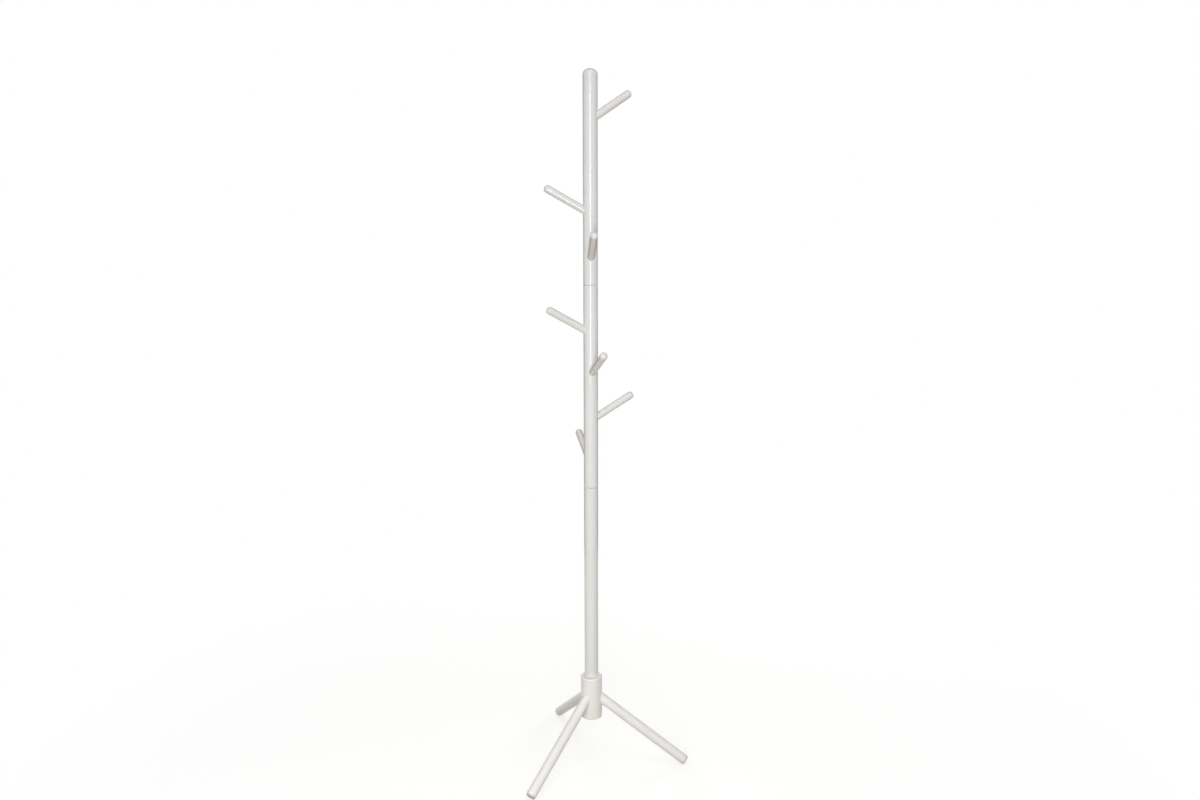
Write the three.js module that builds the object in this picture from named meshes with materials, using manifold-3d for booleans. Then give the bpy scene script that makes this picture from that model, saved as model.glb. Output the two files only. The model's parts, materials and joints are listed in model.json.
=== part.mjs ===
// A standing coat rack. A round pole in three screwed sections stands on a turned hub with three
// raked legs, and eight upturned pegs are screwed into the two upper sections. Every joint is a
// hanger bolt, a steel stud fixed in one piece, turned into a threaded insert in the other.
// Millimetres, +Z up. The origin is on the floor, in the middle of the rectangle that the rack
// covers, and the first leg points along +X.

import * as THREE from "three";
import { mergeVertices } from "three/addons/utils/BufferGeometryUtils.js";
import Module from "manifold-3d";

// ---------------------------------------------------------------- driving dimensions

const FIT = 0.3; // gap left all round between two pieces that seat in or on each other

// Pole: sections of one length, the topmost one domed. They are listed from the top down, each with
// the heading of its first peg in degrees.
const SECTIONS = [
  { name: "upper_pole", heading: 12.5, hasPegs: true },
  { name: "middle_pole", heading: 205, hasPegs: true },
  { name: "lower_pole", heading: 0, hasPegs: false },
];
const POLE_DIAMETER = 35.5;
const SECTION_END_ROUND = 1.5;
const DOME_HEIGHT = 13;

// Hub: the turned block under the pole.
const HUB_DIAMETER = 55.5;
const HUB_HEIGHT = 111.5;
const HUB_EDGE_ROUND = 2.5;

// Legs: evenly round the hub, their axes meeting on the axis of the pole.
const LEG_COUNT = 3;
const LEG_DIAMETER = 25.4;
const LEG_EXPOSED = 267; // wood from the hub's side to the end of the leg, along the leg's axis
const LEG_SLOPE = 36.15; // degrees below level
const LEG_MEETING_DEPTH = 42; // where the leg axes meet, below the hub's top
const LEG_SINK = 3; // how far the rim of a leg's seat lies inside the hub's side
const LEG_END_ROUND = 2;
const HUB_WEB = 2; // wood left between the holes of neighbouring legs

// Foot pads: soft discs on the ends of the legs, flattened where they meet the floor.
const PAD_INSET = 1.2; // from the side of a leg to the rim of its pad
const PAD_THICKNESS = 3;
const PAD_FLAT = 1; // depth of the flat on the lowest part of a pad's rim

// Pegs: each a quarter turn on from the one above it. The lengths above, between and below their
// axes, where these cross the axis of the pole, add up to the length of a section.
const ABOVE_PEGS = 118;
const BETWEEN_PEGS = [102, 116, 110];
const BELOW_PEGS = 60;
const PEG_TURN = 90; // degrees from one peg to the next one down
const PEG_DIAMETER = 18.6;
const PEG_EXPOSED = 106; // from the pole's side to the tip, along the peg's axis
const PEG_RISE = 29.5; // degrees above level
const PEG_TIP_HEIGHT = 7.5;
const PEG_SINK = 2; // how far the rim of a peg's seat lies inside the pole's side
const TOP_PEG_EXPOSED = 94.5; // the topmost peg is shorter and stands steeper than the others
const TOP_PEG_RISE = 34;

// Hanger bolts and their threaded inserts. A stud reaches `fixed` into the piece that carries it
// and `reach` into the piece that holds its insert.
const POLE_FASTENER = { stud: 8, fixed: 30, reach: 23, insert: 12, insertLength: 20 };
const LEG_FASTENER = { stud: 8, fixed: 34, reach: 11, insert: 12, insertLength: 10 };
const PEG_FASTENER = { stud: 6, fixed: 20, reach: 12, insert: 9, insertLength: 11 };
const INSERT_DEPTH = 0.5; // how far an insert lies below the face that it is set in
const END_ROOM = 1; // drilled past the end of a stud

// Sides of each round piece.
const POLE_SIDES = 40;
const HUB_SIDES = 48;
const LEG_SIDES = 32;
const PEG_SIDES = 24;
const FASTENER_SIDES = 12;
const ROUND_FACETS = 2; // across a rounded edge
const DOME_FACETS = 6; // across a domed end

// ---------------------------------------------------------------- derived sizes

const poleRadius = POLE_DIAMETER / 2;
const hubRadius = HUB_DIAMETER / 2;
const legRadius = LEG_DIAMETER / 2;
const padRadius = legRadius - PAD_INSET;
const pegRadius = PEG_DIAMETER / 2;
const legSlope = THREE.MathUtils.degToRad(LEG_SLOPE);

// Heights of the peg axes above the lower end of a section, from the top down.
const pegHeights = BETWEEN_PEGS.reduceRight((above, gap) => [above[0] + gap, ...above], [BELOW_PEGS]);
const sectionLength = pegHeights[0] + ABOVE_PEGS;

const legAxisInHub = hubRadius / Math.cos(legSlope);
const legReach = legAxisInHub + LEG_EXPOSED;
const padReach = legReach + FIT + PAD_THICKNESS;
const meetingHeight = padReach * Math.sin(legSlope) + padRadius * Math.cos(legSlope) - PAD_FLAT;
const hubTop = meetingHeight + LEG_MEETING_DEPTH;

// ---------------------------------------------------------------- finishes

const FINISHES = {
  lacquer: { color: 0xe6e4e1, roughness: 0.35, metalness: 0 },
  rubber: { color: 0xbfbbb7, roughness: 0.85, metalness: 0 },
  zinc: { color: 0xb8bcc2, roughness: 0.35, metalness: 0.9 },
  brass: { color: 0xc9a861, roughness: 0.4, metalness: 0.9 },
};

function mesh(name, geometry, finish) {
  const made = new THREE.Mesh(geometry, new THREE.MeshStandardMaterial(FINISHES[finish]));
  made.name = name;
  return made;
}

// ---------------------------------------------------------------- joining and cutting

const wasm = await Module();
wasm.setup();

function solidOf(geometry) {
  const bare = geometry.clone();
  bare.deleteAttribute("normal");
  bare.deleteAttribute("uv");
  const merged = mergeVertices(bare, 1e-4);
  return new wasm.Manifold(
    new wasm.Mesh({
      numProp: 3,
      vertProperties: merged.attributes.position.array,
      triVerts: new Uint32Array(merged.index.array),
    }),
  );
}

function geometryOf(solid) {
  const made = solid.getMesh();
  const geometry = new THREE.BufferGeometry();
  geometry.setAttribute("position", new THREE.BufferAttribute(made.vertProperties, 3));
  geometry.setIndex(new THREE.BufferAttribute(made.triVerts, 1));
  geometry.computeVertexNormals();
  return geometry;
}

function cut(geometry, tools) {
  return geometryOf(tools.reduce((left, tool) => left.subtract(solidOf(tool)), solidOf(geometry)));
}

// ---------------------------------------------------------------- turned shapes

// A solid of revolution about Z from an outline of Vector2(radius, height), lowest point first.
function turned(outline, sides) {
  return new THREE.LatheGeometry(outline, sides).rotateX(Math.PI / 2);
}

// A plain round bar from one height to another.
function bar(radius, low, high, sides) {
  const outline = [
    new THREE.Vector2(0, low),
    new THREE.Vector2(radius, low),
    new THREE.Vector2(radius, high),
    new THREE.Vector2(0, high),
  ];
  return turned(outline, sides);
}

const SQUARE = null;

// Half the side view of a rod's end, from the side of the rod inwards. The end is SQUARE, or it is
// rounded by a quarter ellipse whose radii are `across` and `along`. `up` is 1 at the upper end
// and -1 at the lower one.
function endOutline(radius, height, end, up) {
  if (end === SQUARE) return [new THREE.Vector2(radius, height)];
  const centre = [radius - end.across, height - up * end.along];
  const turn = (up * Math.PI) / 2;
  const curve = new THREE.EllipseCurve(...centre, end.across, end.along, 0, turn, up < 0);
  return curve.getPoints(end.facets);
}

// A round rod from one height to another, with an end of its own kind at each.
function rod(radius, low, high, lowEnd, highEnd, sides) {
  const outline = [
    new THREE.Vector2(0, low),
    ...endOutline(radius, low, lowEnd, -1).reverse(),
    ...endOutline(radius, high, highEnd, 1),
    new THREE.Vector2(0, high),
  ];
  return turned(outline, sides);
}

const rounded = (size) => ({ across: size, along: size, facets: ROUND_FACETS });
const domed = (radius, height) => ({ across: radius, along: height, facets: DOME_FACETS });

// ---------------------------------------------------------------- screwed joints

// Each joint has a frame of its own: the seat lies at height 0, the carried piece above it and the
// holding piece below it.

function studMesh(name, fastener) {
  return mesh(name, bar(fastener.stud / 2, -fastener.reach, fastener.fixed, FASTENER_SIDES), "zinc");
}

function insertMesh(name, fastener) {
  const bore = fastener.stud / 2 + FIT;
  const wall = fastener.insert / 2;
  const top = -INSERT_DEPTH;
  const bottom = top - fastener.insertLength;
  const outline = [
    new THREE.Vector2(bore, bottom),
    new THREE.Vector2(wall, bottom),
    new THREE.Vector2(wall, top),
    new THREE.Vector2(bore, top),
    new THREE.Vector2(bore, bottom),
  ];
  return mesh(name, turned(outline, FASTENER_SIDES), "brass");
}

// The hole in the carried piece, for the fixed end of its stud.
function studHole(fastener) {
  return bar(fastener.stud / 2 + FIT, -END_ROOM, fastener.fixed + END_ROOM, FASTENER_SIDES);
}

// The stepped hole in the holding piece: wide for the insert, narrow for the end of the stud.
function insertHole(fastener) {
  const wide = fastener.insert / 2 + FIT;
  const narrow = fastener.stud / 2 + FIT;
  const step = -INSERT_DEPTH - fastener.insertLength - FIT;
  const bottom = Math.min(-fastener.reach - END_ROOM, step - END_ROOM);
  const outline = [
    new THREE.Vector2(0, bottom),
    new THREE.Vector2(narrow, bottom),
    new THREE.Vector2(narrow, step),
    new THREE.Vector2(wide, step),
    new THREE.Vector2(wide, END_ROOM),
    new THREE.Vector2(0, END_ROOM),
  ];
  return turned(outline, FASTENER_SIDES);
}

// How far from the centre line a tilted rod seats, so that the whole rim of its end lies `sink`
// inside the side of a round piece.
function seatDistance(roundRadius, rodRadius, tilt, sink) {
  const rim = roundRadius - sink;
  const belowRim = rim - (rodRadius + FIT) * Math.sin(tilt);
  const besideRim = Math.sqrt(rim ** 2 - (rodRadius + FIT) ** 2);
  return Math.min(belowRim, besideRim) / Math.cos(tilt);
}

// A group whose own Z axis leaves the centre line at a height, towards a heading and a rise above
// level, both in radians.
function arm(height, heading, rise) {
  const group = new THREE.Group();
  group.position.z = height;
  group.rotation.set(0, Math.PI / 2 - rise, heading, "ZYX");
  group.updateMatrix();
  return group;
}

// A group that moves its contents up its parent's Z axis.
function raised(distance, ...contents) {
  const group = new THREE.Group();
  group.position.z = distance;
  group.add(...contents);
  return group;
}

// The cuts that seat a rod in the side of a round piece: a flat-bottomed socket and the stepped hole.
function socketCuts(place, seat, rodRadius, outward, fastener, sides) {
  const socket = bar(rodRadius + FIT, seat, outward, sides);
  const hole = insertHole(fastener).translate(0, 0, seat);
  return [socket, hole].map((tool) => tool.applyMatrix4(place.matrix));
}

// ---------------------------------------------------------------- pegs

// The pegs of one section, from the top down: where each one leaves the pole and how long it is.
function pegPlan(firstNumber) {
  return pegHeights.map((height, index) => {
    const isTop = firstNumber + index === 1;
    const rise = THREE.MathUtils.degToRad(isTop ? TOP_PEG_RISE : PEG_RISE);
    return {
      number: firstNumber + index,
      place: arm(height, THREE.MathUtils.degToRad(index * PEG_TURN), rise),
      seat: seatDistance(poleRadius, pegRadius, rise, PEG_SINK),
      side: poleRadius / Math.cos(rise),
      exposed: isTop ? TOP_PEG_EXPOSED : PEG_EXPOSED,
    };
  });
}

// One peg with its stud and its insert, in the frame of its section.
function pegAssembly(peg) {
  const length = peg.side + peg.exposed - peg.seat;
  const tip = domed(pegRadius, PEG_TIP_HEIGHT);
  const wood = rod(pegRadius, FIT, length, SQUARE, tip, PEG_SIDES);
  const seated = raised(
    peg.seat,
    mesh(`peg_${peg.number}`, cut(wood, [studHole(PEG_FASTENER)]), "lacquer"),
    studMesh(`peg_stud_${peg.number}`, PEG_FASTENER),
    insertMesh(`peg_insert_${peg.number}`, PEG_FASTENER),
  );
  peg.place.add(seated);
  return peg.place;
}

function pegCuts(peg) {
  const outward = peg.side + POLE_DIAMETER;
  return socketCuts(peg.place, peg.seat, pegRadius, outward, PEG_FASTENER, PEG_SIDES);
}

// ---------------------------------------------------------------- pole sections

// A section of the pole with its pegs, in a frame at its lower end. Sections and the joints below
// them are numbered from the top. A section carries a stud in its lower end, and every one but the
// topmost holds an insert in its upper end.
function section(plan, number, pegs) {
  const isTop = number === 1;
  const top = isTop ? domed(poleRadius, DOME_HEIGHT) : rounded(SECTION_END_ROUND);
  const wood = rod(poleRadius, 0, sectionLength, rounded(SECTION_END_ROUND), top, POLE_SIDES);
  const cuts = [studHole(POLE_FASTENER), ...pegs.flatMap(pegCuts)];
  const group = new THREE.Group();
  group.rotation.z = THREE.MathUtils.degToRad(plan.heading);
  group.add(studMesh(`pole_stud_${number}`, POLE_FASTENER));
  if (!isTop) {
    cuts.push(insertHole(POLE_FASTENER).translate(0, 0, sectionLength));
    group.add(raised(sectionLength, insertMesh(`pole_insert_${number - 1}`, POLE_FASTENER)));
  }
  group.add(mesh(plan.name, cut(wood, cuts), "lacquer"));
  for (const peg of pegs) group.add(pegAssembly(peg));
  return group;
}

function pole() {
  const group = new THREE.Group();
  SECTIONS.forEach((plan, index) => {
    const height = (SECTIONS.length - 1 - index) * (sectionLength + FIT);
    const pegs = plan.hasPegs ? pegPlan(1 + index * pegHeights.length) : [];
    group.add(raised(height, section(plan, index + 1, pegs)));
  });
  return group;
}

// ---------------------------------------------------------------- hub and legs

const legStep = (2 * Math.PI) / LEG_COUNT;
const legSeat = seatDistance(hubRadius, legRadius, legSlope, LEG_SINK);

function legPlaces() {
  return Array.from({ length: LEG_COUNT }, (_, index) => arm(0, index * legStep, -legSlope));
}

// How near to the meeting point a hole along a leg's axis can reach before it is within HUB_WEB of
// the holes along its neighbours' axes.
function nearestReach(holeRadius) {
  const cosBetween = Math.cos(legSlope) ** 2 * Math.cos(legStep) + Math.sin(legSlope) ** 2;
  return (holeRadius + HUB_WEB / 2) / Math.tan(Math.acos(cosBetween) / 2);
}

// The legs' fastener, shortened to the room that there is in the hub.
const insertRoom = legSeat - nearestReach(LEG_FASTENER.insert / 2 + FIT) - INSERT_DEPTH - FIT;
const studRoom = legSeat - nearestReach(LEG_FASTENER.stud / 2 + FIT) - END_ROOM;
const legFastener = {
  ...LEG_FASTENER,
  insertLength: Math.min(LEG_FASTENER.insertLength, insertRoom),
  reach: Math.min(LEG_FASTENER.reach, studRoom),
};

// The hub and the insert for the pole, in the frame where the leg axes meet.
function hub() {
  const high = LEG_MEETING_DEPTH;
  const edge = rounded(HUB_EDGE_ROUND);
  const block = rod(hubRadius, high - HUB_HEIGHT, high, edge, edge, HUB_SIDES);
  const outward = legAxisInHub + HUB_DIAMETER;
  const legCuts = legPlaces().flatMap((place) =>
    socketCuts(place, legSeat, legRadius, outward, legFastener, LEG_SIDES),
  );
  const poleCut = insertHole(POLE_FASTENER).translate(0, 0, high);
  const group = new THREE.Group();
  group.add(
    mesh("hub", cut(block, [poleCut, ...legCuts]), "lacquer"),
    raised(high, insertMesh(`pole_insert_${SECTIONS.length}`, POLE_FASTENER)),
  );
  return group;
}

// One foot pad in the frame of its leg, cut level where it meets the floor.
function padGeometry() {
  const disc = bar(padRadius, legReach + FIT, padReach, LEG_SIDES);
  const floor = new THREE.BoxGeometry(LEG_DIAMETER * 2, LEG_DIAMETER * 2, LEG_DIAMETER);
  const toLeg = arm(0, 0, -legSlope).matrix.invert();
  floor.translate(padReach * Math.cos(legSlope), 0, -meetingHeight - LEG_DIAMETER / 2);
  return cut(disc, [floor.applyMatrix4(toLeg)]);
}

// A leg with its stud, insert and foot pad, in the frame where the leg axes meet.
function leg(place, number) {
  const length = legReach - legSeat;
  const wood = rod(legRadius, FIT, length, SQUARE, rounded(LEG_END_ROUND), LEG_SIDES);
  place.add(
    mesh(`foot_pad_${number}`, padGeometry(), "rubber"),
    raised(
      legSeat,
      mesh(`leg_${number}`, cut(wood, [studHole(legFastener)]), "lacquer"),
      studMesh(`leg_stud_${number}`, legFastener),
      insertMesh(`leg_insert_${number}`, legFastener),
    ),
  );
  return place;
}

// ---------------------------------------------------------------- the whole rack

const standing = new THREE.Group();
standing.add(
  raised(meetingHeight, hub(), ...legPlaces().map((place, index) => leg(place, index + 1))),
  raised(hubTop + FIT, pole()),
);

const covered = new THREE.Box3().setFromObject(standing, true);
const middle = covered.getCenter(new THREE.Vector3());
standing.position.set(-middle.x, -middle.y, 0);

const coatRack = new THREE.Group();
coatRack.add(standing);

export default coatRack;
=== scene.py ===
"""A standing coat rack in white lacquered wood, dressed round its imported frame.

A round pole in three screwed sections stands on a turned hub with three raked legs and carries
eight upturned pegs. Each joint is a hanger bolt turned into a threaded insert. Lengths are metres
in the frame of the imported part, and every turned piece is made along its own axis, which runs from
the middle of its insert to the middle of its bolt.
"""

import json
import logging
import math
from dataclasses import dataclass, replace
from enum import Enum
from typing import Sequence

import bmesh
import bpy
from mathutils import Matrix, Quaternion, Vector

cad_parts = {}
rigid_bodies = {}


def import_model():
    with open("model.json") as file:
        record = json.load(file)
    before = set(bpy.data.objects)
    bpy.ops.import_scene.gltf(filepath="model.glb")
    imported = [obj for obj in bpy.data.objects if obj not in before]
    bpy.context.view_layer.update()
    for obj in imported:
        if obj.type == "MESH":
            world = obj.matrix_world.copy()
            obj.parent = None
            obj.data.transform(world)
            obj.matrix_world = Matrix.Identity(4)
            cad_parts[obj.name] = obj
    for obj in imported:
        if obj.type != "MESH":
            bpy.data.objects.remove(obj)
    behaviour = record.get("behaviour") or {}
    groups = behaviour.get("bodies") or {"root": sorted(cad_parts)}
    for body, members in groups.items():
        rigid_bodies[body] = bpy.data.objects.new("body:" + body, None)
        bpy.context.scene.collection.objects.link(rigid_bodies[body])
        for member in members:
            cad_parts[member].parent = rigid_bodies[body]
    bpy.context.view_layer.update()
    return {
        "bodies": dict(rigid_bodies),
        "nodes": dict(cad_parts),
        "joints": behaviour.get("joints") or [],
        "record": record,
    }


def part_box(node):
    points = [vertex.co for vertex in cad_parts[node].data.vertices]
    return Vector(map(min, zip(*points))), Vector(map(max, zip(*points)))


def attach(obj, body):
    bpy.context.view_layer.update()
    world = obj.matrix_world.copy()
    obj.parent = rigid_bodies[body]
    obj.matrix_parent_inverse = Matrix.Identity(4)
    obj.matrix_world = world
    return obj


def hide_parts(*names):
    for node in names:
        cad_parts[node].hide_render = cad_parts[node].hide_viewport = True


LOG = logging.getLogger("coat_rack")

BODY = "root"

PLAY = 0.00015  # left all round between two pieces of wood that seat in each other
BORE_PLAY = 0.0003  # left all round a bolt or an insert in its bore
DRILL_POINT = math.tan(math.radians(31.0))  # depth of a drilled hole's cone over its radius
MERGE = 1e-7  # vertices nearer than this are one
CARVE_MERGE = 1e-6  # the same for a piece that has been cut
SHARP = math.radians(32.0)  # an edge that turns by more than this is shaded as a crease
SIDE_SLACK = 1e-3  # of a radius, within which a vertex counts as on the round side
FULL_TURN = 2 * math.pi

Colour = tuple[float, float, float]


class Slot(Enum):
    """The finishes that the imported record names."""

    LACQUER = "white_lacquer"
    RUBBER = "rubber"
    ZINC = "zinc_steel"
    BRASS = "brass"


class End(Enum):
    """How the upper end of a pole section is finished."""

    DOMED = "domed"
    BORED = "bored"


# ------------------------------------------------------------------------------- places


def middle(node: str) -> Vector:
    """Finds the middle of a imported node.

    Args:
        node: The node's name.

    Returns:
        The centre of its box.
    """
    low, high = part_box(node)
    return (low + high) / 2


def axis_frame(origin: Vector, direction: Vector) -> Matrix:
    """Makes a frame that turned work can be built in.

    Args:
        origin: Where the frame's own origin lies.
        direction: The way that its Z axis runs.

    Returns:
        The frame, as a matrix from its own coordinates to the rack's.
    """
    turn = direction.normalized().to_track_quat("Z", "Y")
    return Matrix.Translation(origin) @ turn.to_matrix().to_4x4()


def reach_along(node: bpy.types.Object, frame: Matrix) -> tuple[float, float]:
    """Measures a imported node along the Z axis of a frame.

    Args:
        node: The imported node.
        frame: The frame to measure in.

    Returns:
        Its lowest and its highest point on that axis.
    """
    inward = frame.inverted()
    heights = [(inward @ vertex.co).z for vertex in node.data.vertices]
    return min(heights), max(heights)


# ------------------------------------------------------------------------------- turning


class Outline:
    """Half the side view of a turned piece, drawn point by point in the XZ plane."""

    def __init__(self, radius: float, height: float) -> None:
        """Starts the line.

        Args:
            radius: Distance of its first point from the axis.
            height: Height of its first point.
        """
        self.mesh = bmesh.new()
        self.start = self.tip = Vector((radius, 0.0, height))
        self.mesh.verts.new(self.start)

    def at(self, place: Vector) -> bmesh.types.BMVert:
        """Finds the point that lies at a place."""
        return min(self.mesh.verts, key=lambda vertex: (vertex.co - place).length)

    def line(self, radius: float, height: float, rows: int = 1) -> "Outline":
        """Draws a straight stroke.

        Args:
            radius: Where it ends, from the axis.
            height: Where it ends, in height.
            rows: How many equal pieces it is in.

        Returns:
            The outline, for the next stroke.
        """
        end = Vector((radius, 0.0, height))
        stroke = self.mesh.edges.new((self.at(self.tip), self.mesh.verts.new(end)))
        if rows > 1:
            bmesh.ops.subdivide_edges(self.mesh, edges=[stroke], cuts=rows - 1)
        self.tip = end
        return self

    def curve(
        self, radius: float, height: float, rows: int, level_first: bool = False
    ) -> "Outline":
        """Draws a quarter of an ellipse.

        Args:
            radius: Where it ends, from the axis.
            height: Where it ends, in height.
            rows: How many pieces it is in.
            level_first: Whether it leaves level and arrives upright, or the other way round.

        Returns:
            The outline, for the next stroke.
        """
        start, end = self.tip, Vector((radius, 0.0, height))
        centre = Vector((start.x, 0.0, end.z)) if level_first else Vector((end.x, 0.0, start.z))
        arm, goal = start - centre, end - centre
        side = 1.0 if Vector((arm.z, 0.0, -arm.x)).dot(goal) > 0 else -1.0
        known = len(self.mesh.verts)
        self.spin([self.at(start)], centre, (0.0, side, 0.0), FULL_TURN / 4, rows)
        drawn = list(self.mesh.verts)[known:]
        stretch = goal.length / arm.length
        factors = (1.0, 1.0, stretch) if abs(goal.z) > abs(goal.x) else (stretch, 1.0, 1.0)
        place = Matrix.Translation(-centre)
        bmesh.ops.scale(self.mesh, vec=factors, space=place, verts=drawn)
        self.tip = end
        return self

    def spin(
        self,
        swept: Sequence[bmesh.types.BMVert | bmesh.types.BMEdge],
        centre: Vector,
        axis: Sequence[float],
        angle: float,
        steps: int,
    ) -> None:
        """Sweeps points and strokes round an axis.

        Args:
            swept: What is swept.
            centre: A point on the axis.
            axis: The way that the axis runs.
            angle: How far it turns. A full turn is merged where it meets its start.
            steps: How many pieces the sweep is in.
        """
        bmesh.ops.spin(
            self.mesh,
            geom=swept,
            cent=centre,
            axis=axis,
            dvec=(0.0, 0.0, 0.0),
            angle=angle,
            steps=steps,
            use_merge=angle >= FULL_TURN,
            use_normal_flip=False,
            use_duplicate=False,
        )

    def close(self) -> "Outline":
        """Joins the last point to the first, for a piece that is bored right through."""
        self.mesh.edges.new((self.at(self.tip), self.at(self.start)))
        return self

    def turn(self, steps: int) -> bmesh.types.BMesh:
        """Turns the outline round the Z axis.

        Args:
            steps: How many flats the piece has round it.

        Returns:
            The closed body, faces outwards.
        """
        outline = [*self.mesh.verts, *self.mesh.edges]
        self.spin(outline, Vector(), (0.0, 0.0, 1.0), FULL_TURN, steps)
        return healed(self.mesh, MERGE)


def healed(body: bmesh.types.BMesh, distance: float) -> bmesh.types.BMesh:
    """Merges the doubles of a body and turns its faces outwards.

    Args:
        body: The body to heal, which is changed.
        distance: How near two vertices are that become one.

    Returns:
        The same body.
    """
    bmesh.ops.remove_doubles(body, verts=body.verts, dist=distance)
    bmesh.ops.dissolve_degenerate(body, edges=body.edges, dist=distance)
    bmesh.ops.recalc_face_normals(body, faces=body.faces)
    return body


# ------------------------------------------------------------------------------- cutting


def moved(body: bmesh.types.BMesh, frame: Matrix) -> bmesh.types.BMesh:
    """Moves a body from its own frame to the rack's.

    Args:
        body: The body, which is changed.
        frame: Where it goes.

    Returns:
        The same body.
    """
    bmesh.ops.transform(body, matrix=frame, verts=body.verts)
    return body


def placed(name: str, body: bmesh.types.BMesh) -> bpy.types.Object:
    """Makes an object of a body, at the origin of the rack, and frees the body.

    Args:
        name: The object's name.
        body: The body, already in the rack's frame.

    Returns:
        The object, linked to the scene.
    """
    mesh = bpy.data.meshes.new(name)
    body.to_mesh(mesh)
    body.free()
    made = bpy.data.objects.new(name, mesh)
    bpy.context.scene.collection.objects.link(made)
    return made


def carved(body: bmesh.types.BMesh, tools: Sequence[bmesh.types.BMesh]) -> bmesh.types.BMesh:
    """Cuts tools out of a body.

    Args:
        body: The wood, which is used up.
        tools: The bodies to take away, which are used up.

    Returns:
        What is left.
    """
    wood = placed("wood", body)
    cutters = [placed("cutter", tool) for tool in tools]
    for cutter in cutters:
        cut = wood.modifiers.new("cut", "BOOLEAN")
        cut.operation, cut.solver, cut.object = "DIFFERENCE", "EXACT", cutter
    graph = bpy.context.evaluated_depsgraph_get()
    left = bmesh.new()
    left.from_mesh(wood.evaluated_get(graph).to_mesh())
    for spent in (wood, *cutters):
        mesh = spent.data
        bpy.data.objects.remove(spent)
        bpy.data.meshes.remove(mesh)
    return healed(left, CARVE_MERGE)


def shaded(body: bmesh.types.BMesh) -> bmesh.types.BMesh:
    """Smooths a body's shading and keeps its creases.

    Args:
        body: The body, which is changed.

    Returns:
        The same body.
    """
    for face in body.faces:
        face.smooth = True
    for edge in body.edges:
        edge.smooth = len(edge.link_faces) == 2 and edge.calc_face_angle(0.0) < SHARP
    return body


def trued(made: bpy.types.Object, frame: Matrix, radius: float, low: float, high: float) -> None:
    """Gives the round side of a piece its true normals.

    Without them the sockets that are cut in it would leave ripples in the gloss.

    Args:
        made: The piece.
        frame: The piece's own frame, its Z axis along the side.
        radius: The radius of the side.
        low: Where the side starts, along the axis.
        high: Where it ends.
    """
    mesh, inward = made.data, frame.inverted()
    turn = frame.to_3x3()
    local = [inward @ vertex.co for vertex in mesh.vertices]
    slack = radius * SIDE_SLACK
    on_side = [
        abs(math.hypot(p.x, p.y) - radius) < slack and low - slack < p.z < high + slack
        for p in local
    ]
    normals = [Vector(corner.vector) for corner in mesh.corner_normals]
    for face in mesh.polygons:
        if not all(on_side[index] for index in face.vertices):
            continue
        for corner in face.loop_indices:
            point = local[mesh.loops[corner].vertex_index]
            normals[corner] = turn @ Vector((point.x, point.y, 0.0)).normalized()
    mesh.normals_split_custom_set(normals)


@dataclass(frozen=True)
class Thread:
    """A right-hand screw thread, sunk into the wall of a turned piece between two heights.

    Threads of one pitch in one frame keep step with each other, so a bolt's ridges lie in its
    insert's grooves.
    """

    pitch: float
    depth: float
    low: float
    high: float
    innermost: float = 0.0  # walls nearer the axis than this are left plain
    outermost: float = 1.0  # and so are those further from it
    sharpness: float = 1.0  # 1 for even flanks, more for a thin ridge between wide grooves
    rows_per_turn: int = 6
    core: float = 0.45  # most of a narrow point's radius that a groove takes

    def rows(self, length: float) -> int:
        """Counts the rows of faces that a stretch of thread needs."""
        return max(2, round(length / self.pitch * self.rows_per_turn))

    def cut(self, body: bmesh.types.BMesh) -> None:
        """Cuts the thread.

        Args:
            body: The turned body, in its own frame, which is changed.
        """
        for vertex in body.verts:
            x, y, height = vertex.co
            reach = math.hypot(x, y)
            if not (self.innermost < reach < self.outermost and self.low < height < self.high):
                continue
            turn = (height / self.pitch - math.atan2(y, x) / FULL_TURN) % 1.0
            groove = min(1.0, self.sharpness * (1.0 - abs(2.0 * turn - 1.0)))
            run_out = min(1.0, (height - self.low) / self.pitch, (self.high - height) / self.pitch)
            left = 1.0 - min(self.depth / reach, self.core) * groove * run_out
            vertex.co.x, vertex.co.y = x * left, y * left


# ------------------------------------------------------------------------------- finishes


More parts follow.
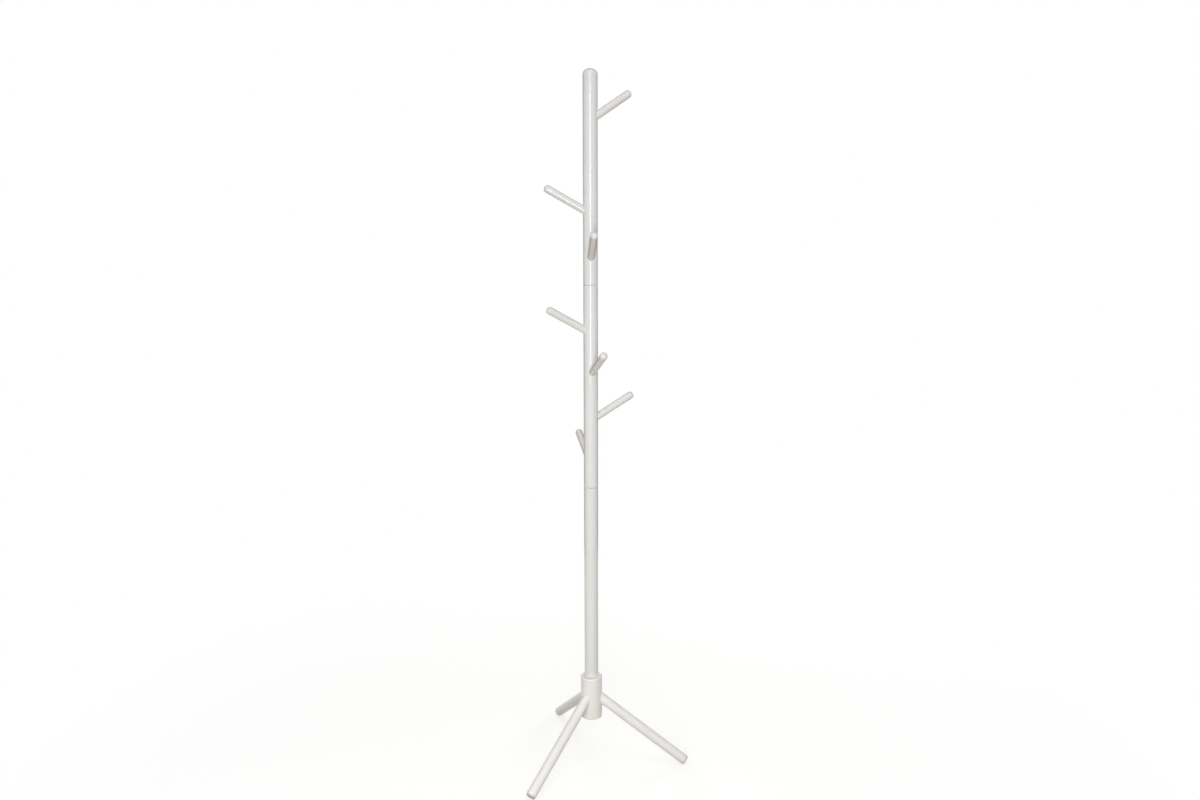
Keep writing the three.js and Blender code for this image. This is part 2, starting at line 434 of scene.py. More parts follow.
class Board:
    """A tree of shader nodes, with short calls that place and join them."""

    def __init__(self, tree: bpy.types.NodeTree) -> None:
        """Takes a tree to work on.

        Args:
            tree: The tree.
        """
        self.tree = tree

    def node(self, kind: str, **settings: object) -> bpy.types.Node:
        """Adds a node.

        Args:
            kind: Its type's name.
            settings: Its own settings by name.

        Returns:
            The node.
        """
        made = self.tree.nodes.new(kind)
        for name, value in settings.items():
            setattr(made, name, value)
        return made

    def join(self, source: bpy.types.NodeSocket, target: bpy.types.NodeSocket) -> None:
        """Joins an output to an input."""
        self.tree.links.new(source, target)

    def own_place(self, frame: Matrix) -> bpy.types.NodeSocket:
        """Reads the place on a piece in its own frame, so that its pattern follows its axis.

        Args:
            frame: The piece's own frame.

        Returns:
            The place, as a vector.
        """
        place = self.node("ShaderNodeTexCoord")
        mapping = self.node("ShaderNodeMapping", vector_type="TEXTURE")
        mapping.inputs["Location"].default_value = frame.translation
        mapping.inputs["Rotation"].default_value = frame.to_euler("XYZ")
        self.join(place.outputs["Object"], mapping.inputs["Vector"])
        return mapping.outputs["Vector"]

    def noise(
        self,
        place: bpy.types.NodeSocket,
        frequency: Sequence[float],
        detail: float,
    ) -> bpy.types.NodeSocket:
        """Adds a noise that may be drawn out along an axis.

        Args:
            place: The place that it reads.
            frequency: Its blotches to the metre along X, Y and Z.
            detail: How many octaves it has.

        Returns:
            Its value, from 0 to 1.
        """
        stretch = self.node("ShaderNodeMapping")
        stretch.inputs["Scale"].default_value = frequency
        self.join(place, stretch.inputs["Vector"])
        noise = self.node("ShaderNodeTexNoise")
        noise.inputs["Scale"].default_value = 1.0
        noise.inputs["Detail"].default_value = detail
        self.join(stretch.outputs["Vector"], noise.inputs["Vector"])
        return noise.outputs[0]

    def spread(
        self,
        value: bpy.types.NodeSocket,
        low: float,
        high: float,
        start: float = 0.3,
        stop: float = 0.7,
    ) -> bpy.types.NodeSocket:
        """Spreads a value over a range.

        Args:
            value: The value.
            low: What it becomes at start.
            high: What it becomes at stop.
            start: Where the range starts.
            stop: Where the range ends.

        Returns:
            The spread value.
        """
        span = self.node("ShaderNodeMapRange")
        ends = {"From Min": start, "From Max": stop, "To Min": low, "To Max": high}
        for name, number in ends.items():
            span.inputs[name].default_value = number
        self.join(value, span.inputs["Value"])
        return span.outputs["Result"]

    def blend(
        self, factor: bpy.types.NodeSocket, low: Sequence[float], high: Sequence[float]
    ) -> bpy.types.NodeSocket:
        """Blends two colours.

        Args:
            factor: How much of the second colour shows.
            low: The first colour.
            high: The second colour.

        Returns:
            The blended colour.
        """
        mix = self.node("ShaderNodeMix", data_type="RGBA")
        colours = [socket for socket in mix.inputs if socket.type == "RGBA"]
        colours[0].default_value, colours[1].default_value = (*low, 1.0), (*high, 1.0)
        self.join(factor, mix.inputs["Factor"])
        return next(socket for socket in mix.outputs if socket.type == "RGBA")

    def bump(
        self,
        height: bpy.types.NodeSocket,
        depth: float,
        under: bpy.types.NodeSocket | None = None,
    ) -> bpy.types.NodeSocket:
        """Raises the surface by a height.

        Args:
            height: The height, from 0 to 1.
            depth: How many metres a height of 1 stands for.
            under: The bump that this one lies on.

        Returns:
            The normal.
        """
        bump = self.node("ShaderNodeBump")
        bump.inputs["Strength"].default_value = 1.0
        bump.inputs["Distance"].default_value = depth
        self.join(height, bump.inputs["Height"])
        if under is not None:
            self.join(under, bump.inputs["Normal"])
        return bump.outputs["Normal"]

    def either(
        self, share: bpy.types.NodeSocket, first: bpy.types.Node, second: bpy.types.Node
    ) -> bpy.types.Node:
        """Mixes two shaders.

        Args:
            share: How much of the second shader shows.
            first: The first shader.
            second: The second shader.

        Returns:
            The mixed shader.
        """
        mix = self.node("ShaderNodeMixShader")
        self.join(share, mix.inputs["Fac"])
        self.join(first.outputs[0], mix.inputs[1])
        self.join(second.outputs[0], mix.inputs[2])
        return mix

    def seen(self) -> bpy.types.NodeSocket:
        """Tells the rays that show the surround from those that light the rack.

        Returns:
            1 for a ray from the camera, a gloss or a clear piece, and 0 for any other.
        """
        path = self.node("ShaderNodeLightPath")
        total = path.outputs["Is Camera Ray"]
        for name in ("Is Glossy Ray", "Is Transmission Ray"):
            most = self.node("ShaderNodeMath", operation="MAXIMUM")
            self.join(total, most.inputs[0])
            self.join(path.outputs[name], most.inputs[1])
            total = most.outputs[0]
        return total


class Paint(Board):
    """The nodes of one material."""

    def __init__(self, name: str) -> None:
        """Starts a material with its shader and its output.

        Args:
            name: The material's name.
        """
        self.material = bpy.data.materials.new(name)
        self.material.use_nodes = True
        super().__init__(self.material.node_tree)
        self.shader = self.tree.nodes["Principled BSDF"]


@dataclass(frozen=True)
class Lacquer:
    """White lacquer sprayed over sanded wood.

    The grain telegraphs through it, and it has a faint orange peel. Patterns are in blotches to
    the metre along the piece's own X, Y and Z.
    """

    tone: Colour = (0.757, 0.756, 0.757)
    thin_tone: Colour = (0.732, 0.726, 0.720)
    gloss: tuple[float, float] = (0.13, 0.20)
    thin_share: tuple[float, float] = (0.12, 0.42)  # the pattern's range from thick to thin
    refraction: float = 1.6
    grain: tuple[float, float, float] = (620.0, 620.0, 14.0)
    grain_detail: float = 4.0
    grain_depth: float = 0.000005
    cloud: tuple[float, float, float] = (18.0, 18.0, 7.0)
    cloud_detail: float = 2.0
    peel: tuple[float, float, float] = (420.0, 420.0, 420.0)
    peel_detail: float = 1.0
    peel_depth: float = 0.000003

    def material(self, name: str, frame: Matrix) -> bpy.types.Material:
        """Makes the lacquer of one piece.

        Args:
            name: The piece's name.
            frame: The piece's own frame, its Z axis along the grain.

        Returns:
            The material.
        """
        board = Paint(f"lacquer_{name}")
        place = board.own_place(frame)
        grain = board.noise(place, self.grain, self.grain_detail)
        cloud = board.noise(place, self.cloud, self.cloud_detail)
        peel = board.noise(place, self.peel, self.peel_detail)
        both = board.node("ShaderNodeMath", operation="MULTIPLY")
        board.join(grain, both.inputs[0])
        board.join(cloud, both.inputs[1])
        share = board.spread(both.outputs[0], 0.0, 1.0, *self.thin_share)
        board.join(board.blend(share, self.tone, self.thin_tone), board.shader.inputs["Base Color"])
        board.join(board.spread(cloud, *self.gloss), board.shader.inputs["Roughness"])
        under = board.bump(grain, self.grain_depth)
        board.join(board.bump(peel, self.peel_depth, under), board.shader.inputs["Normal"])
        board.shader.inputs["IOR"].default_value = self.refraction
        return board.material


@dataclass(frozen=True)
class Plain:
    """Rubber or metal of one tone that turns duller in patches, under a fine relief."""

    name: str
    tone: Colour
    dull_tone: Colour
    gloss: tuple[float, float]
    patches: tuple[float, float, float]  # blotches to the metre along the piece's X, Y and Z
    relief: tuple[float, float, float]
    relief_detail: float
    relief_depth: float
    metallic: float = 1.0
    patch_detail: float = 3.0

    def material(self, name: str, frame: Matrix) -> bpy.types.Material:
        """Makes the finish of one piece.

        Args:
            name: The piece's name.
            frame: The piece's own frame.

        Returns:
            The material.
        """
        board = Paint(f"{self.name}_{name}")
        place = board.own_place(frame)
        patches = board.noise(place, self.patches, self.patch_detail)
        relief = board.noise(place, self.relief, self.relief_detail)
        tone = board.blend(board.spread(patches, 0.0, 1.0), self.tone, self.dull_tone)
        board.join(tone, board.shader.inputs["Base Color"])
        board.join(board.spread(patches, *self.gloss), board.shader.inputs["Roughness"])
        board.join(board.bump(relief, self.relief_depth), board.shader.inputs["Normal"])
        board.shader.inputs["Metallic"].default_value = self.metallic
        return board.material


# Three tones of one white paint, set together with the lamps; where they differ, the difference is painted
# light.
POLE_LACQUER = Lacquer()
# Warmer than the pole's: painted warm light on the pegs.
PEG_LACQUER_PAINTED_WARM_LIGHT = Lacquer(tone=(0.766, 0.748, 0.735), thin_tone=(0.736, 0.713, 0.694))
# Brighter than the pole's: painted light from below on the hub and legs.
BASE_LACQUER_PAINTED_UNDERLIGHT = Lacquer(tone=(0.855, 0.836, 0.822), thin_tone=(0.825, 0.802, 0.782))
RUBBER = Plain(
    name="rubber",
    tone=(0.600, 0.585, 0.565),
    dull_tone=(0.670, 0.655, 0.635),  # dust
    gloss=(0.62, 0.8),
    patches=(900.0, 900.0, 900.0),
    relief=(900.0, 900.0, 900.0),  # specks
    relief_detail=3.0,
    relief_depth=0.00002,
    metallic=0.0,
)
ZINC = Plain(
    name="zinc",
    tone=(0.60, 0.62, 0.65),
    dull_tone=(0.48, 0.50, 0.52),
    gloss=(0.24, 0.42),
    patches=(500.0, 500.0, 500.0),
    relief=(60.0, 60.0, 4000.0),  # rings from the tool
    relief_detail=1.0,
    relief_depth=0.000004,
)
BRASS = replace(
    ZINC, name="brass", tone=(0.70, 0.50, 0.22), dull_tone=(0.58, 0.39, 0.16), gloss=(0.22, 0.40)
)

Finish = Lacquer | Plain


def hand_over(
    made: bpy.types.Object, finish: Finish, frame: Matrix, node: str
) -> bpy.types.Object:
    """Dresses a piece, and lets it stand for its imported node.

    Args:
        made: The piece.
        finish: What it is finished in.
        frame: The piece's own frame.
        node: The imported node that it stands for.

    Returns:
        The piece.
    """
    made.data.materials.clear()
    made.data.materials.append(finish.material(node, frame))
    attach(made, BODY)
    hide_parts(node)
    LOG.info("%s: %d faces, for %s", made.name, len(made.data.polygons), node)
    return made


# ------------------------------------------------------------------------------- screwed joints


@dataclass(frozen=True)
class Joint:
    """A hanger bolt turned into a threaded insert.

    The seat of the joint is at height 0 of its own frame. The piece that carries the bolt lies
    above it, and the piece that holds the insert below it.
    """

    kind: str  # how the names of its nodes start
    bolt: float  # diameter over the threads
    fixed: float  # length in the piece that carries the bolt
    reach: float  # length in the piece that holds the insert
    insert: float  # diameter over the outer thread
    insert_length: float
    pitch: float  # of the machine thread
    wood_pitch: float  # of the coarse threads that bite in the wood
    insert_sunk: float = 0.0005

    def seat(self, number: int) -> Matrix:
        """Finds the joint's own frame from the boxes of its bolt and its insert.

        Args:
            number: Which joint of its kind.

        Returns:
            The frame, with its Z axis towards the carried piece.
        """
        centre = middle(f"{self.kind}_stud_{number}")
        axis = (centre - middle(f"{self.kind}_insert_{number}")).normalized()
        return axis_frame(centre - axis * (self.fixed - self.reach) / 2, axis)

    def bolt_hole(self, radius: float) -> Outline:
        """Starts the outline of a carried piece: the hole for the bolt, and the face round it.

        Args:
            radius: Where the face ends.

        Returns:
            The outline so far, which runs from the axis out to that radius.
        """
        bore = self.bolt / 2 + BORE_PLAY
        depth = self.fixed + BORE_PLAY
        return (
            Outline(0.0, depth + bore * DRILL_POINT)
            .line(bore, depth)
            .line(bore, 0.0)
            .line(radius, 0.0)
        )

    def insert_hole(self, outline: Outline, face: float) -> Outline:
        """Ends an outline with the stepped hole for the insert and the end of the bolt.

        Args:
            outline: The outline so far, up to the face that the hole is in.
            face: The height of that face.

        Returns:
            The outline, back on the axis.
        """
        wide = self.insert / 2 + BORE_PLAY
        narrow = self.bolt / 2 + BORE_PLAY
        step = face - self.insert_sunk - self.insert_length - BORE_PLAY
        bottom = min(face - self.reach, step) - BORE_PLAY
        return (
            outline.line(wide, face)
            .line(wide, step)
            .line(narrow, step)
            .line(narrow, bottom)
            .line(0.0, bottom - narrow * DRILL_POINT)
        )

    def socket(self, radius: float, outward: float, steps: int) -> bmesh.types.BMesh:
        """Makes the tool that sinks a seat in a round side, with the hole for the insert in it.

        Args:
            radius: Radius of the rod that seats in it.
            outward: How far the tool reaches out of the seat.
            steps: How many flats it has round it.

        Returns:
            The tool, in the joint's frame.
        """
        wide = radius + PLAY
        outline = Outline(0.0, outward).line(wide, outward).line(wide, 0.0)
        return self.insert_hole(outline, 0.0).turn(steps)


PEG_JOINT = Joint(
    kind="peg",
    bolt=0.006,
    fixed=0.020,
    reach=0.012,
    insert=0.009,
    insert_length=0.011,
    pitch=0.001,
    wood_pitch=0.0022,
)
POLE_JOINT = Joint(
    kind="pole",
    bolt=0.008,
    fixed=0.030,
    reach=0.023,
    insert=0.012,
    insert_length=0.020,
    pitch=0.00125,
    wood_pitch=0.0028,
)
LEG_JOINT = replace(POLE_JOINT, kind="leg", fixed=0.034, reach=0.011, insert_length=0.010)


@dataclass
class Bolt:
    """A hanger bolt: a pointed wood thread, a plain waist and a machine thread."""

    joint: Joint
    number: int
    waist: float = 0.003
    waist_share: float = 0.9  # of the radius over the threads
    shoulder: float = 0.0002  # height of the cone at each end of the waist
    machine_depth: float = 0.61  # of its pitch
    wood_depth: float = 0.3  # of the radius over the threads
    wood_sharpness: float = 2.2
    wood_rows: int = 8  # to a turn
    lead_rows: int = 2  # in the chamfer that leads into the insert
    tip_share: float = 0.15  # of the radius, left at the point
    steps: int = 24

    def build(self) -> bpy.types.Object:
        """Builds and dresses the bolt.

        Returns:
            The piece.
        """
        joint, radius = self.joint, self.joint.bolt / 2
        point = joint.fixed - 2 * radius
        machine = Thread(
            pitch=joint.pitch,
            depth=self.machine_depth * joint.pitch,
            low=-joint.reach - joint.pitch,
            high=0.0,
        )
        wood = Thread(
            pitch=joint.wood_pitch,
            depth=self.wood_depth * radius,
            low=self.waist,
            high=joint.fixed,
            sharpness=self.wood_sharpness,
            rows_per_turn=self.wood_rows,
        )
        outline = Outline(0.0, -joint.reach).line(radius - machine.depth, -joint.reach)
        outline.line(radius, -joint.reach + machine.depth, self.lead_rows)
        outline.line(radius, 0.0, machine.rows(joint.reach - machine.depth))
        outline.line(radius * self.waist_share, self.shoulder)
        outline.line(radius * self.waist_share, self.waist - self.shoulder)
        outline.line(radius, self.waist)
        outline.line(radius, point, wood.rows(point - self.waist))
        outline.line(radius * self.tip_share, joint.fixed, wood.rows(2 * radius))
        outline.line(0.0, joint.fixed)
        body = outline.turn(self.steps)
        machine.cut(body)
        wood.cut(body)
        node, frame = f"{joint.kind}_stud_{self.number}", joint.seat(self.number)
        made = placed(f"{joint.kind}_bolt_{self.number}", shaded(moved(body, frame)))
        return hand_over(made, ZINC, frame, node)


@dataclass
class Insert:
    """A threaded insert: coarse outside, the machine thread inside and a driver's slot."""

    joint: Joint
    number: int
    lead: float = 0.0004  # chamfer at the mouth
    outer_depth: float = 0.55  # of the wall
    outer_sharpness: float = 1.8
    outer_rows: int = 8  # to a turn
    taper_rows: int = 6  # in the taper at the lower end
    inner_depth: float = 0.48  # of the machine thread's pitch
    slot_width: float = 0.0014
    slot_depth: float = 0.0014
    steps: int = 32

    def build(self) -> bpy.types.Object:
        """Builds and dresses the insert.

        Returns:
            The piece.
        """
        joint = self.joint
        outer, bore = joint.insert / 2, joint.bolt / 2 + BORE_PLAY
        top = -joint.insert_sunk
        bottom = top - joint.insert_length
        between = (outer + bore) / 2
        coarse = Thread(
            pitch=joint.wood_pitch,
            depth=self.outer_depth * (outer - bore),
            low=bottom,
            high=top,
            innermost=between,
            sharpness=self.outer_sharpness,
            rows_per_turn=self.outer_rows,
        )
        fine = Thread(
            pitch=joint.pitch,
            depth=self.inner_depth * joint.pitch,
            low=bottom,
            high=top,
            innermost=bore / 2,
            outermost=between,
        )
        outline = Outline(bore + self.lead, top).line(outer - self.lead, top)
        outline.line(outer, top - self.lead)
        threaded = joint.insert_length - joint.wood_pitch
        outline.line(outer, bottom + joint.wood_pitch, coarse.rows(threaded))
        outline.line(outer - coarse.depth, bottom, self.taper_rows)
        outline.line(bore, bottom)
        outline.line(bore, top - self.lead, fine.rows(joint.insert_length))
        body = outline.close().turn(self.steps)
        coarse.cut(body)
        fine.cut(body)
        node, frame = f"{joint.kind}_insert_{self.number}", joint.seat(self.number)
        body = carved(moved(body, frame), [moved(self.slot(), frame)])
        return hand_over(placed(f"{node}_brass", shaded(body)), BRASS, frame, node)

    def slot(self) -> bmesh.types.BMesh:
        """Makes the tool for the driver's slot.

        Returns:
            The tool, in the joint's frame.
        """
        tool = bmesh.new()
        bmesh.ops.create_cube(tool, size=1.0)
        size = (2 * self.joint.insert, self.slot_width, 2 * self.slot_depth)
        bmesh.ops.scale(tool, vec=size, verts=tool.verts)
        bmesh.ops.translate(tool, vec=(0.0, 0.0, -self.joint.insert_sunk), verts=tool.verts)
        return tool


# ------------------------------------------------------------------------------- the rack


@dataclass
class Rack:
    """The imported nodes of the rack."""

    nodes: dict[str, bpy.types.Object]

    def numbers(self, kind: str) -> list[int]:
        """Lists the numbers of one kind of piece.

        Args:
            kind: How the names of its nodes start, before the number.

        Returns:
            The numbers, in order.
        """
        start = f"{kind}_"
        tails = [name.removeprefix(start) for name in self.nodes if name.startswith(start)]
        return sorted(int(tail) for tail in tails if tail.isdigit())

    def upright(self, node: str) -> Matrix:
        """Makes the frame of an upright piece.

        Args:
            node: The piece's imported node.

        Returns:
            The frame at the middle of the piece's lower end.
        """
        low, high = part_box(node)
        return Matrix.Translation(((low.x + high.x) / 2, (low.y + high.y) / 2, low.z))

    def rod(self, node: str, frame: Matrix) -> tuple[Matrix, float]:
        """Finds where a rod that seats in a joint starts, and how long it is.

        Args:
            node: The rod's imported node.
            frame: The joint's frame.

        Returns:
            The frame at the rod's root, and its length.
        """
        low, high = reach_along(self.nodes[node], frame)
        root = axis_frame(frame @ Vector((0.0, 0.0, low)), frame.col[2].to_3d())
        return root, high - low


@dataclass
class PoleSection:
    """One section of the pole.

    It is bored for its bolt, for the insert of the section above and for its pegs.
    """

    rack: Rack
    name: str
    end: End
    pegs: Sequence[int] = ()
    radius: float = 0.01775
    edge: float = 0.0015
    edge_rows: int = 6
    side_rows: int = 12
    dome: float = 0.013
    dome_rows: int = 16
    tool_reach: float = 4.0  # radii that a socket's tool reaches outwards
    steps: int = 96

    def build(self) -> bpy.types.Object:
        """Builds and dresses the section.

        Returns:
            The piece.
        """
        frame = self.rack.upright(self.name)
        low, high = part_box(self.name)
        length = high.z - low.z
        outline = POLE_JOINT.bolt_hole(self.radius - self.edge)
        outline.curve(self.radius, self.edge, self.edge_rows, level_first=True)
        shoulder = length - (self.dome if self.end is End.DOMED else self.edge)
        outline.line(self.radius, shoulder, self.side_rows)
        if self.end is End.DOMED:
            outline.curve(0.0, length, self.dome_rows)
        else:
            outline.curve(self.radius - self.edge, length, self.edge_rows)
            POLE_JOINT.insert_hole(outline, length)
        body = moved(outline.turn(self.steps), frame)
        if self.pegs:
            body = carved(body, [self.peg_socket(number) for number in self.pegs])
        made = placed(f"{self.name}_wood", shaded(body))
        trued(made, frame, self.radius, self.edge, shoulder)
        return hand_over(made, POLE_LACQUER, frame, self.name)

    def peg_socket(self, number: int) -> bmesh.types.BMesh:
        """Makes the tool for the socket of one peg.

        Args:
            number: The peg's number.

        Returns:
            The tool, in the rack's frame.
        """
        tool = PEG_JOINT.socket(Peg.radius, self.tool_reach * self.radius, Peg.steps)
        return moved(tool, PEG_JOINT.seat(number))


@dataclass
class Peg:
    """A peg: a round rod with a domed tip, square where it seats in the pole."""

    rack: Rack
    number: int
    radius: float = 0.0093
    side_rows: int = 8
    tip: float = 0.0075
    tip_rows: int = 14
    root_chamfer: float = 0.0004
    steps: int = 64

    def build(self) -> bpy.types.Object:
        """Builds and dresses the peg.

        Returns:
            The piece.
        """
        node = f"peg_{self.number}"
        frame = PEG_JOINT.seat(self.number)
        root, length = self.rack.rod(node, frame)
        outline = PEG_JOINT.bolt_hole(self.radius - self.root_chamfer)
        outline.line(self.radius, self.root_chamfer)
        outline.line(self.radius, length - self.tip, self.side_rows)
        outline.curve(0.0, length, self.tip_rows)
        made = placed(f"{node}_wood", shaded(moved(outline.turn(self.steps), root)))
        # The pegs' lacquer carries painted warm light in its warmer tone.
        return hand_over(made, PEG_LACQUER_PAINTED_WARM_LIGHT, frame, node)


@dataclass
class Hub:
    """The turned block that the pole stands on, bored for the legs."""

    rack: Rack
    legs: Sequence[int]
    radius: float = 0.02775
    edge: float = 0.0025
    edge_rows: int = 8
    side_rows: int = 6
    face_rows: int = 3
    tool_reach: float = 3.0  # radii that a socket's tool reaches outwards
    steps: int = 128

    def build(self) -> bpy.types.Object:
        """Builds and dresses the hub.

        Returns:
            The piece.
        """
        frame = self.rack.upright("hub")
        low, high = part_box("hub")
        height = high.z - low.z
        outline = Outline(0.0, 0.0).line(self.radius - self.edge, 0.0, self.face_rows)
        outline.curve(self.radius, self.edge, self.edge_rows, level_first=True)
        outline.line(self.radius, height - self.edge, self.side_rows)
        outline.curve(self.radius - self.edge, height, self.edge_rows)
        POLE_JOINT.insert_hole(outline, height)
        body = moved(outline.turn(self.steps), frame)
        outward = self.tool_reach * self.radius
        tools = [
            moved(LEG_JOINT.socket(Leg.radius, outward, Leg.steps), LEG_JOINT.seat(number))
            for number in self.legs
        ]
        made = placed("hub_wood", shaded(carved(body, tools)))
        trued(made, frame, self.radius, self.edge, height - self.edge)
        # The base lacquer carries painted light from below in its brighter tone.
        return hand_over(made, BASE_LACQUER_PAINTED_UNDERLIGHT, frame, "hub")


@dataclass
class Leg:
    """A raked leg with a soft pad on its end, flat where it meets the floor."""

    rack: Rack
    number: int
    radius: float = 0.0127
    side_rows: int = 12
    edge: float = 0.002
    edge_rows: int = 8
    face_rows: int = 3
    root_chamfer: float = 0.0005
    pad_radius: float = 0.0115
    pad_edge: float = 0.0006
    pad_edge_rows: int = 4
    steps: int = 80

    def build(self) -> list[bpy.types.Object]:
        """Builds and dresses the leg and its pad.

        Returns:
            Both pieces.
        """
        return [self.wood(), self.pad()]

    def wood(self) -> bpy.types.Object:
        """Builds and dresses the leg itself.

        Returns:
            The piece.
        """
        node = f"leg_{self.number}"
        frame = LEG_JOINT.seat(self.number)
        root, length = self.rack.rod(node, frame)
        outline = LEG_JOINT.bolt_hole(self.radius - self.root_chamfer)
        outline.line(self.radius, self.root_chamfer)
        outline.line(self.radius, length - self.edge, self.side_rows)
        outline.curve(self.radius - self.edge, length, self.edge_rows)
        outline.line(0.0, length, self.face_rows)
        made = placed(f"{node}_wood", shaded(moved(outline.turn(self.steps), root)))
        # The base lacquer carries painted light from below in its brighter tone.
        return hand_over(made, BASE_LACQUER_PAINTED_UNDERLIGHT, frame, node)

    def pad(self) -> bpy.types.Object:
        """Builds and dresses the pad.

        Returns:
            The piece.
        """
        node = f"foot_pad_{self.number}"
        frame = LEG_JOINT.seat(self.number)
        low, high = reach_along(self.rack.nodes[node], frame)
        outline = Outline(0.0, low).line(self.pad_radius - self.pad_edge, low, self.face_rows)
        outline.curve(self.pad_radius, low + self.pad_edge, self.pad_edge_rows, level_first=True)
        outline.line(self.pad_radius, high - self.pad_edge)
        outline.curve(self.pad_radius - self.pad_edge, high, self.pad_edge_rows)
        outline.line(0.0, high, self.face_rows)
        body = moved(outline.turn(self.steps), frame)
        bmesh.ops.bisect_plane(
            body,
            geom=[*body.verts, *body.edges, *body.faces],
            dist=MERGE,
            plane_co=(0.0, 0.0, 0.0),
            plane_no=(0.0, 0.0, -1.0),
            clear_outer=True,
        )
        rim = [edge for edge in body.edges if edge.is_boundary]
        bmesh.ops.contextual_create(body, geom=rim)
        made = placed(f"{node}_rubber", shaded(healed(body, MERGE)))
        return hand_over(made, RUBBER, frame, node)


# ------------------------------------------------------------------------------- the studio


def level(bearing: float) -> Vector:
    """Finds the level direction that a bearing in degrees stands for."""
    turn = math.radians(bearing)
    return Vector((math.cos(turn), math.sin(turn), 0.0))


@dataclass(frozen=True)
class Softbox:
    """A soft lamp that hangs round the rack and faces the pole."""

    name: str
    bearing: float  # degrees round the pole, from +X
    distance: float
    height: float
    aim: float  # height that it faces
    width: float
    tall: float
    power: float
    tone: Colour
    mirrored: bool = True  # whether a gloss shows it

    def hang(self, axis: Vector) -> bpy.types.Object:
        """Hangs the lamp.

        Args:
            axis: The foot of the pole's axis.

        Returns:
            The lamp.
        """
        lamp = bpy.data.lights.new(self.name, "AREA")
        lamp.shape, lamp.size, lamp.size_y = "RECTANGLE", self.width, self.tall
        lamp.energy, lamp.color = self.power, self.tone
        made = bpy.data.objects.new(self.name, lamp)
        place = axis + level(self.bearing) * self.distance + Vector((0.0, 0.0, self.height))
        facing = (axis + Vector((0.0, 0.0, self.aim)) - place).to_track_quat("-Z", "Y")
        made.matrix_world = Matrix.Translation(place) @ facing.to_matrix().to_4x4()
        made.visible_camera = False
        made.visible_glossy = self.mirrored
        bpy.context.scene.collection.objects.link(made)
        return made


@dataclass(frozen=True)
class Card:
    """A dark card that only gloss shows, which draws a thin edge along the white wood."""

    name: str
    bearing: float  # degrees round the pole, from +X
    distance: float
    height: float  # of its middle
    width: float
    tall: float = 2.2
    tone: float = 0.08
    roughness: float = 0.9

    def stand(self, axis: Vector) -> bpy.types.Object:
        """Stands the card up, facing the pole.

        Args:
            axis: The foot of the pole's axis.

        Returns:
            The card.
        """
        outward = level(self.bearing)
        centre = axis + outward * self.distance + Vector((0.0, 0.0, self.height))
        body = bmesh.new()
        bmesh.ops.create_grid(body, x_segments=1, y_segments=1, size=0.5)  # a unit wide
        bmesh.ops.scale(body, vec=(self.width, self.tall, 1.0), verts=body.verts)
        made = placed(self.name, moved(body, axis_frame(centre, -outward)))
        board = Paint(self.name)
        board.shader.inputs["Base Color"].default_value = (self.tone, self.tone, self.tone, 1.0)
        board.shader.inputs["Roughness"].default_value = self.roughness
        made.data.materials.append(board.material)
        for ray in ("camera", "diffuse", "shadow", "transmission"):
            setattr(made, f"visible_{ray}", False)
        return made


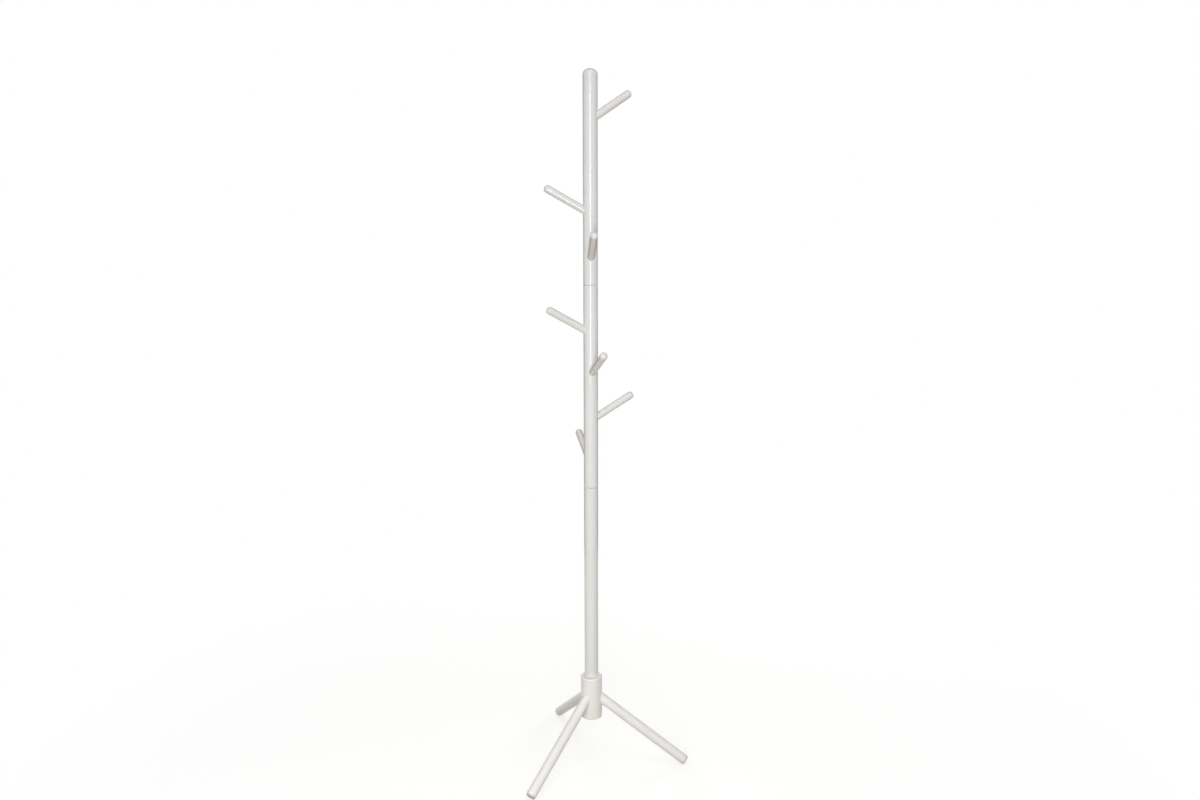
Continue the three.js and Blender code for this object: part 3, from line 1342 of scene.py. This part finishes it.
@dataclass(frozen=True)
class Studio:
    """A pale floor, soft lamps, dark cards for the gloss, a white surround and the camera.

    Lamps, cards and floor were set together for the view from the camera. From the sides and from
    behind the rack is darker.
    """

    floor_radius: float = 3.0
    floor_steps: int = 96
    floor_tone: Colour = (0.42, 0.42, 0.42)
    floor_glow: float = 0.64
    floor_bounce: Colour = (0.18, 0.12, 0.05)  # what the floor throws back on the rack
    fade: tuple[float, float] = (0.5, 1.5)  # from the pole, where the floor turns into white
    lamps: tuple[Softbox, ...] = (
        Softbox("key_lamp", -84.0, 2.6, 1.40, 1.40, 0.60, 1.5, 24.5, (0.95, 0.97, 1.0)),
        Softbox("top_lamp", -60.0, 0.9, 3.4, 0.9, 1.6, 1.6, 8.0, (1.0, 1.0, 1.0)),
        Softbox("front_lamp", -84.0, 3.0, 0.9, 0.7, 2.4, 1.6, 12.0, (0.70, 0.83, 1.0), mirrored=False),
        Softbox("low_lamp", -95.0, 1.7, 0.45, 0.1, 1.2, 0.7, 9.5, (0.95, 0.94, 0.85), mirrored=False),
        Softbox("rear_right_lamp", 58.0, 3.0, 1.0, 0.8, 1.0, 1.6, 32.0, (1.0, 0.99, 0.98), mirrored=False),
        Softbox("rear_left_lamp", 118.0, 3.0, 1.0, 0.8, 1.0, 1.6, 24.0, (1.0, 0.99, 0.98), mirrored=False),
    )
    cards: tuple[Card, ...] = (
        Card("right_card", 57.7, 1.3, 1.2, 1.3),
        Card("left_card", 137.7, 1.3, 1.2, 1.3),
        Card("high_card", 97.7, 2.5, 4.1, 3.6, 3.8),
    )
    ambient_left: Colour = (0.455, 0.45, 0.435)
    ambient_right: Colour = (0.44, 0.43, 0.41)
    camera_distance: float = 2.3663
    camera_bearing: float = -82.245
    camera_height: float = 1.3876
    camera_heading: float = 97.205
    camera_pitch: float = -9.528
    camera_roll: float = -0.051
    lens: float = 29.083
    sensor: float = 36.0
    shift: float = -0.01067

    def build(self, axis: Vector) -> None:
        """Sets up the whole studio.

        Args:
            axis: The foot of the pole's axis.
        """
        self.lay_floor(axis)
        self.light_world()
        for lamp in self.lamps:
            lamp.hang(axis)
        for card in self.cards:
            card.stand(axis)
        self.place_camera(axis)
        bpy.context.scene.view_settings.view_transform = "Standard"

    def lay_floor(self, axis: Vector) -> None:
        """Lays the floor, which keeps the rack's soft shadow and runs out into the surround.

        Args:
            axis: The middle of the floor.
        """
        body = bmesh.new()
        bmesh.ops.create_circle(
            body, cap_ends=True, segments=self.floor_steps, radius=self.floor_radius
        )
        frame = Matrix.Translation(axis)
        floor = placed("floor", moved(body, frame))
        board = Paint("pale_floor")
        distance = board.node("ShaderNodeVectorMath", operation="LENGTH")
        board.join(board.own_place(frame), distance.inputs[0])
        fade = board.spread(distance.outputs["Value"], 0.0, 1.0, *self.fade)
        bounce = board.node("ShaderNodeBsdfDiffuse")
        bounce.inputs["Color"].default_value = (*self.floor_bounce, 1.0)
        catch = board.node("ShaderNodeBsdfDiffuse")
        catch.inputs["Color"].default_value = (*self.floor_tone, 1.0)
        glow = board.node("ShaderNodeEmission")
        glow.inputs["Strength"].default_value = self.floor_glow
        white = board.node("ShaderNodeEmission")
        near = board.node("ShaderNodeAddShader")
        board.join(glow.outputs[0], near.inputs[0])
        board.join(catch.outputs[0], near.inputs[1])
        shown = board.either(fade, near, white)
        mix = board.either(board.seen(), bounce, shown)
        board.tree.nodes.remove(board.shader)
        board.join(mix.outputs[0], board.tree.nodes["Material Output"].inputs["Surface"])
        floor.data.materials.append(board.material)

    def light_world(self) -> None:
        """Surrounds the rack with an even light that shows as white."""
        world = bpy.data.worlds.new("surround")
        world.use_nodes = True
        bpy.context.scene.world = world
        world.node_tree.nodes.clear()
        board = Board(world.node_tree)
        place = board.node("ShaderNodeTexCoord")
        parts = board.node("ShaderNodeSeparateXYZ")
        board.join(place.outputs["Generated"], parts.inputs[0])
        across = board.spread(parts.outputs["X"], 0.0, 1.0, -1.0, 1.0)
        ambient = board.node("ShaderNodeBackground")
        tone = board.blend(across, self.ambient_left, self.ambient_right)
        board.join(tone, ambient.inputs["Color"])
        white = board.node("ShaderNodeBackground")
        white.inputs["Color"].default_value = (1.0, 1.0, 1.0, 1.0)
        shown = board.either(board.seen(), ambient, white)
        out = board.node("ShaderNodeOutputWorld")
        board.join(shown.outputs[0], out.inputs["Surface"])

    def place_camera(self, axis: Vector) -> None:
        """Places the camera.

        Args:
            axis: The foot of the pole's axis.
        """
        lens = bpy.data.cameras.new("camera")
        lens.lens, lens.sensor_width, lens.shift_y = self.lens, self.sensor, self.shift
        camera = bpy.data.objects.new("camera", lens)
        pitch, roll = math.radians(self.camera_pitch), math.radians(self.camera_roll)
        offset = level(self.camera_bearing) * self.camera_distance
        place = axis + offset + Vector((0.0, 0.0, self.camera_height))
        view = level(self.camera_heading) * math.cos(pitch) + Vector((0.0, 0.0, math.sin(pitch)))
        facing = view.to_track_quat("-Z", "Y") @ Quaternion((0.0, 0.0, 1.0), roll)
        camera.matrix_world = Matrix.Translation(place) @ facing.to_matrix().to_4x4()
        bpy.context.scene.collection.objects.link(camera)
        bpy.context.scene.camera = camera


def main() -> None:
    """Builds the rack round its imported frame, and the studio that it stands in."""
    logging.basicConfig(level=logging.INFO, format="%(name)s: %(message)s")
    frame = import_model()
    rack = Rack(frame["nodes"])
    pegs, legs = rack.numbers("peg"), rack.numbers("leg")
    upper = [number for number in pegs if middle(f"peg_{number}").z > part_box("upper_pole")[0].z]
    lower = [number for number in pegs if number not in upper]
    PoleSection(rack, "upper_pole", End.DOMED, upper).build()
    PoleSection(rack, "middle_pole", End.BORED, lower).build()
    PoleSection(rack, "lower_pole", End.BORED).build()
    for number in pegs:
        Peg(rack, number).build()
    Hub(rack, legs).build()
    for number in legs:
        Leg(rack, number).build()
    for joint in (POLE_JOINT, LEG_JOINT, PEG_JOINT):
        for number in rack.numbers(f"{joint.kind}_stud"):
            Bolt(joint, number).build()
            Insert(joint, number).build()
    axis = rack.upright("lower_pole").translation
    Studio().build(Vector((axis.x, axis.y, 0.0)))


if __name__ == "__main__":
    main()
